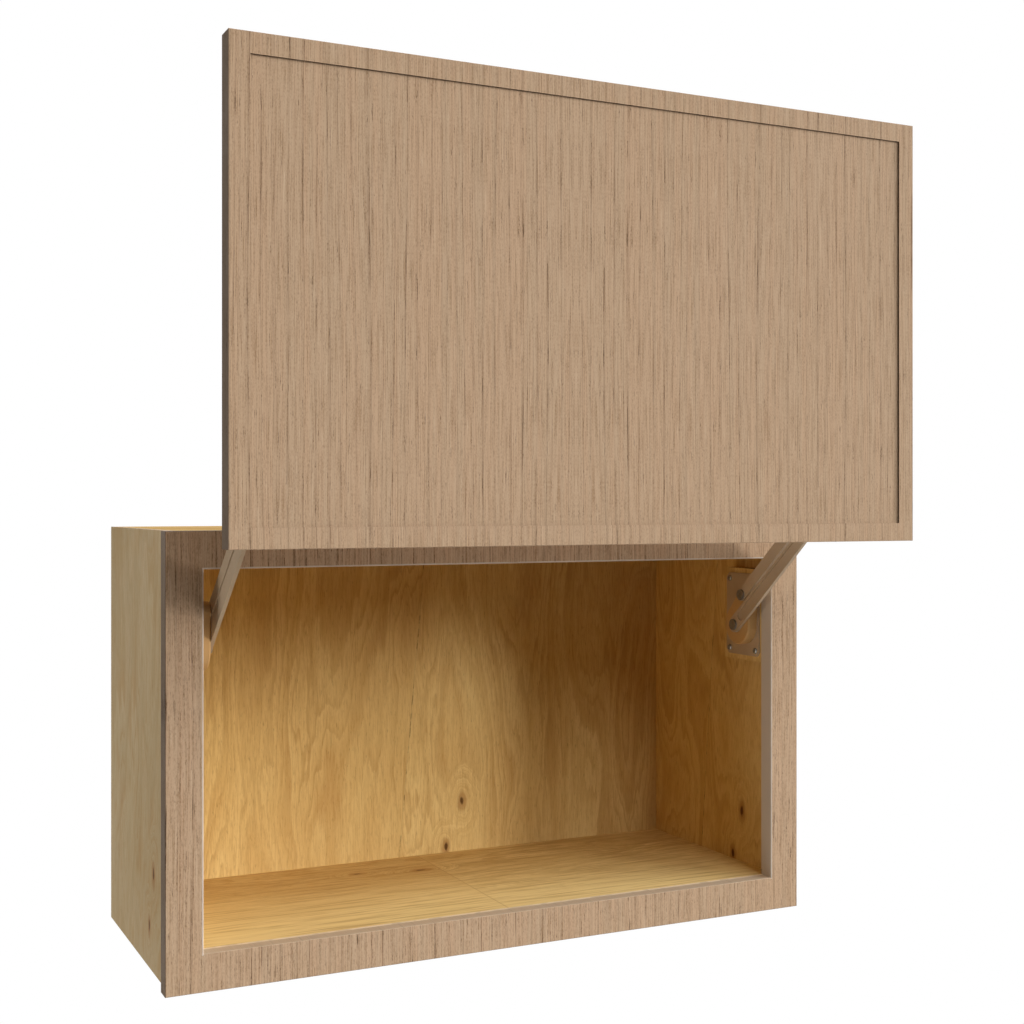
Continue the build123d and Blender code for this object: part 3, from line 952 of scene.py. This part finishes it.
def makeSoftButton():
    # clear soft buttons on the door's back, with patchy dust
    material, tree, shader, given = startMaterial("softButton")
    shader.inputs["Transmission Weight"].default_value = button["clearness"]
    shader.inputs["IOR"].default_value = button["lightBend"]
    dust = noise(tree, given["Object"], *button["dust"])
    colour = blend(tree, fade(tree, dust, *button["dustFade"]), button["colour"], button["dull"])
    plug(tree, colour, shader.inputs["Base Color"])
    plug(tree, fade(tree, dust, *button["roughFade"]), shader.inputs["Roughness"])
    addBump(tree, shader, dust, *button["bump"])
    return material


def dress(material, *names):
    for name in names:
        slots = nodes[name].data.materials
        slots.clear()
        slots.append(material)


def bothSides(*names):
    return [f"{name}_{side}" for name in names for side in sideSigns]


platedSteel = makePlatedSteel()
dress(makeOakDoor(), *bothSides("door_stile"), "door_top_rail", "door_bottom_rail", "door_panel")
dress(makeOakFrame(), *bothSides("frame_stile"), "frame_top_rail")
dress(makeOakSill(), "frame_bottom_rail")
dress(makeBirchBack(), "back_panel")
dress(makeBirchBoard("birchBottom", "bottom_panel", floorBoard), "bottom_panel")
dress(makeBirchBoard("birchTop", "top_panel", topBoard), "top_panel")
dress(makeBirchSide(), *bothSides("side_panel", "mounting_block"))
dress(makePineRail(), "upper_hanging_rail", "lower_hanging_rail")
dress(makeLiftPaint(), *bothSides("lift_base", "main_arm", "guide_arm", "door_bracket"))
dress(makeCoverPlastic(), *bothSides("lift_cover"))
dress(platedSteel, *bothSides("main_stud", "guide_stud", "bracket_pins"))
dress(makeSpringStrip(), "balance_springs")
dress(makeSoftButton(), "door_bumpers")
print("woods and fittings dressed")


# modelling helpers

upright = 0.9  # a normal's z, from which on a face counts as level


def selectFaces(mesh, test):
    for face in mesh.polygons:
        face.select = test(face)
    for edge in mesh.edges:
        edge.select = False
    for vertex in mesh.vertices:
        vertex.select = False


def pickOnly(piece):
    bpy.ops.object.select_all(action="DESELECT")
    piece.select_set(True)
    bpy.context.view_layer.objects.active = piece


def cutWith(piece, cutter, operation):
    pickOnly(piece)
    cut = piece.modifiers.new("cut", "BOOLEAN")
    cut.operation = operation
    cut.solver = "EXACT"
    cut.object = cutter
    bpy.ops.object.modifier_apply(modifier=cut.name)
    bpy.data.objects.remove(cutter)


# balance springs: the bent inner end sits in the hub and turns with it, so each spring is cut there

spring = {"cutRadius": 0.0074, "cutSides": 48, "merge": 0.000001, "smoothAngle": 30}


def copySpring(name, sign):
    # one side out of the node that holds both
    strip = bpy.data.objects.new(name, nodes["balance_springs"].data.copy())
    bpy.context.scene.collection.objects.link(strip)
    pickOnly(strip)
    bpy.ops.object.mode_set(mode="EDIT")
    bpy.ops.mesh.select_mode(type="FACE")
    bpy.ops.mesh.select_all(action="SELECT")
    bpy.ops.mesh.remove_doubles(threshold=spring["merge"])
    bpy.ops.object.mode_set(mode="OBJECT")
    selectFaces(strip.data, lambda face: face.center.x * sign < 0)
    bpy.ops.object.mode_set(mode="EDIT")
    bpy.ops.mesh.delete(type="VERT")
    bpy.ops.object.mode_set(mode="OBJECT")
    return strip


def makeSprings():
    joint = next(joint for joint in frame["record"]["behaviour"]["joints"] if joint["name"] == "door_lift")
    pivot = Vector(joint["pos_m"])
    low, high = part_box("balance_springs")
    for side, sign in sideSigns.items():
        arm = f"main_arm_{side}"
        for kind, operation, body in (("Coil", "DIFFERENCE", "cabinet"), ("Tang", "INTERSECT", arm)):
            strip = copySpring(f"spring{kind}{side.capitalize()}", sign)
            bpy.ops.object.select_all(action="DESELECT")
            bpy.ops.mesh.primitive_cylinder_add(
                vertices=spring["cutSides"], radius=spring["cutRadius"], depth=(high.x - low.x) * 2,
                location=(0, pivot.y, pivot.z), rotation=(0, math.radians(90), 0)
            )
            cutWith(strip, bpy.context.object, operation)
            bpy.ops.object.shade_smooth_by_angle(angle=math.radians(spring["smoothAngle"]))
            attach(strip, body)
            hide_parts("balance_springs")
            print("spring piece:", strip.name, len(strip.data.polygons), "faces")


makeSprings()


# cross-recess screws

screw = {
    "radius": 0.0036,
    "height": 0.0018,
    "sides": 28,
    "dome": 0.0011,
    "domeSteps": 4,
    "smoothAngle": 35,
    "slotLong": 0.0042,
    "slotWide": 0.0010,
    "slotDeep": 0.0013,
    "slotTaper": 0.45,  # the recess narrows downwards
    "plateInset": 0.007,
    "plateTurn": 37,  # degrees from one screw to the next
    "flangeHeights": (0.15, 0.5, 0.85),
    "flangeIn": 0.0116,
    "flangeThick": 0.0025,
    "flangeTurn": 53,
}


def makeScrewHead():
    # a domed head on the XY plane, cut by a tapered cross
    bpy.ops.object.select_all(action="DESELECT")
    bpy.ops.mesh.primitive_cylinder_add(
        vertices=screw["sides"], radius=screw["radius"], depth=screw["height"],
        location=(0, 0, screw["height"] / 2)
    )
    head = bpy.context.object
    head.name = "screwHead"
    bpy.ops.object.transform_apply(location=True)
    selectFaces(head.data, lambda face: face.normal.z > upright)
    bpy.ops.object.mode_set(mode="EDIT")
    bpy.ops.mesh.select_mode(type="FACE")
    bpy.ops.mesh.bevel(offset=screw["dome"], segments=screw["domeSteps"], affect="EDGES")
    bpy.ops.object.mode_set(mode="OBJECT")
    for turn in (0, 90):
        bpy.ops.object.select_all(action="DESELECT")
        bpy.ops.mesh.primitive_cube_add(size=1.0, location=(0, 0, screw["height"]))
        cutter = bpy.context.object
        cutter.scale = (screw["slotLong"], screw["slotWide"], screw["slotDeep"] * 2)
        cutter.rotation_euler = (0, 0, math.radians(turn))
        bpy.ops.object.transform_apply(location=True, rotation=True, scale=True)
        selectFaces(cutter.data, lambda face: face.normal.z < -upright)
        bpy.ops.object.mode_set(mode="EDIT")
        bpy.ops.mesh.select_mode(type="FACE")
        bpy.ops.transform.resize(value=(screw["slotTaper"], screw["slotTaper"], 1.0))
        bpy.ops.object.mode_set(mode="OBJECT")
        cutWith(head, cutter, "DIFFERENCE")
    bpy.ops.object.shade_smooth_by_angle(angle=math.radians(screw["smoothAngle"]))
    head.data.materials.clear()
    head.data.materials.append(platedSteel)
    return head


def placeScrew(head, name, place, outward, body, turn):
    # copies the head so that its top looks along outward
    spot = bpy.data.objects.new(name, head.data.copy())
    lean = Vector(outward).to_track_quat("Z", "Y").to_matrix().to_4x4()
    spin = Matrix.Rotation(math.radians(turn), 4, "Z")
    spot.data.transform(Matrix.Translation(place) @ lean @ spin)
    bpy.context.scene.collection.objects.link(spot)
    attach(spot, body)


def makeScrews():
    head = makeScrewHead()
    count = 0
    for side, sign in sideSigns.items():
        low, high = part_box(f"lift_base_{side}")
        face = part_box(f"lift_cover_{side}")[0 if sign < 0 else 1].x  # where the cover meets the plate
        step = screw["plateInset"]
        for y in (low.y + step, high.y - step):
            for z in (low.z + step, high.z - step):
                count += 1
                place = Vector((face, y, z))
                turn = count * screw["plateTurn"]
                placeScrew(head, f"plateScrew{count}", place, (-sign, 0, 0), "cabinet", turn)
        low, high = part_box(f"door_bracket_{side}")
        flangeFace = low.y + screw["flangeThick"]
        inner = high.x if sign < 0 else low.x
        for share in screw["flangeHeights"]:
            count += 1
            z = low.z + (high.z - low.z) * share
            place = Vector((inner + sign * screw["flangeIn"], flangeFace, z))
            turn = count * screw["flangeTurn"]
            placeScrew(head, f"bracketScrew{count}", place, (0, 1, 0), "door", turn)
    bpy.data.objects.remove(head)
    print("screws placed:", count)


makeScrews()


# light, floor and camera

lamps = {
    "keyRight": {"azimuth": 63, "elevation": 28, "spread": 26, "strength": 0.46},
    "lowRight": {"azimuth": 38, "elevation": 14, "spread": 14, "strength": 0.42},
    "grazeRight": {"azimuth": 74, "elevation": -2, "spread": 16, "strength": 0.47},
    "frontHigh": {"azimuth": 3, "elevation": 34, "spread": 32, "strength": 0.28},
    "sideLeft": {"azimuth": -95, "elevation": -2, "spread": 30, "strength": 0.38},
    "behind": {"azimuth": 160, "elevation": 44, "spread": 24, "strength": 0.95},
}
studio = {"lampDistance": 4.0, "ambient": 0.0, "seenWhite": 1.0}


def addLamp(name, azimuth, elevation, spread, strength):
    # a wide soft source far away; strength 1 shows a facing colour as it is written
    lamp = bpy.data.lights.new(name, "SUN")
    lamp.angle = math.radians(spread)
    lamp.energy = math.pi * strength
    holder = bpy.data.objects.new(name, lamp)
    turn, lift = math.radians(azimuth), math.radians(elevation)
    source = Vector((math.sin(turn) * math.cos(lift), -math.cos(turn) * math.cos(lift), math.sin(lift)))
    holder.location = source * studio["lampDistance"]
    holder.rotation_euler = (-source).to_track_quat("-Z", "Y").to_euler()
    bpy.context.scene.collection.objects.link(holder)


def seenRay(tree):
    path = newNode(tree, "ShaderNodeLightPath").outputs
    return most(tree, path["Is Camera Ray"], path["Is Glossy Ray"], path["Is Transmission Ray"])


def makeWorld():
    # white to look at, and no light of its own on the cabinet
    world = bpy.data.worlds.new("studio")
    world.use_nodes = True
    tree = world.node_tree
    dim = tree.nodes["Background"]
    plugByName(tree, dim, {"Color": white, "Strength": studio["ambient"]})
    seen = newNode(tree, "ShaderNodeBackground")
    plugByName(tree, seen, {"Color": white, "Strength": studio["seenWhite"]})
    mix = newNode(tree, "ShaderNodeMixShader")
    plugInOrder(tree, mix, (seenRay(tree), dim.outputs[0], seen.outputs[0]))
    plug(tree, mix.outputs[0], tree.nodes["World Output"].inputs["Surface"])
    bpy.context.scene.world = world


floor = {
    "drop": 1.37,
    "radius": 3.0,
    "sides": 64,
    "fadeFrom": 1.6,
    "fadeTo": 2.6,
    "colour": srgb(236, 236, 234),
    "roughness": 0.9,
    "gloss": 0.1,
    "lift": 0.45,
}


def makeFloor():
    bpy.ops.object.select_all(action="DESELECT")
    bpy.ops.mesh.primitive_circle_add(
        vertices=floor["sides"], radius=floor["radius"], fill_type="NGON",
        location=(0, 0, cadBox[0].z - floor["drop"])
    )
    disc = bpy.context.object
    disc.name = "paleFloor"
    bpy.ops.object.transform_apply(location=True)
    material, tree, shader, given = startMaterial("paleFloor")
    shader.inputs["Base Color"].default_value = floor["colour"]
    shader.inputs["Roughness"].default_value = floor["roughness"]
    shader.inputs["Specular IOR Level"].default_value = floor["gloss"]
    glow = newNode(tree, "ShaderNodeEmission")
    plug(tree, calc(tree, "MULTIPLY", seenRay(tree), floor["lift"]), glow.inputs["Strength"])
    both = newNode(tree, "ShaderNodeAddShader")
    plugInOrder(tree, both, (shader.outputs[0], glow.outputs[0]))
    spot = axes(tree, given["Object"])
    squares = [calc(tree, "MULTIPLY", spot[axis], spot[axis]) for axis in ("X", "Y")]
    away = calc(tree, "ADD", *squares)
    clear = newNode(tree, "ShaderNodeBsdfTransparent")
    mix = newNode(tree, "ShaderNodeMixShader")
    gone = fade(tree, calc(tree, "SQRT", away), floor["fadeFrom"], floor["fadeTo"])
    plugInOrder(tree, mix, (gone, both.outputs[0], clear.outputs[0]))
    plug(tree, mix.outputs[0], tree.nodes["Material Output"].inputs["Surface"])
    disc.data.materials.append(material)


camera = {
    "place": (-0.70491, -1.71669, 0.08064),
    "turn": 25.25,
    "lens": 50.83,
    "sensor": 36.0,
    "shift": (0.03, -0.0079),
}


def makeCamera():
    data = bpy.data.cameras.new("photoView")
    data.lens = camera["lens"]
    data.sensor_width = camera["sensor"]
    data.shift_x, data.shift_y = camera["shift"]
    holder = bpy.data.objects.new("photoView", data)
    holder.location = camera["place"]
    holder.rotation_euler = (math.radians(90), 0, -math.radians(camera["turn"]))  # level
    bpy.context.scene.collection.objects.link(holder)
    bpy.context.scene.camera = holder


for name, lamp in lamps.items():
    addLamp(name, **lamp)
makeWorld()
makeFloor()
makeCamera()
bpy.context.scene.view_settings.view_transform = "Standard"
print("light, floor and camera set")
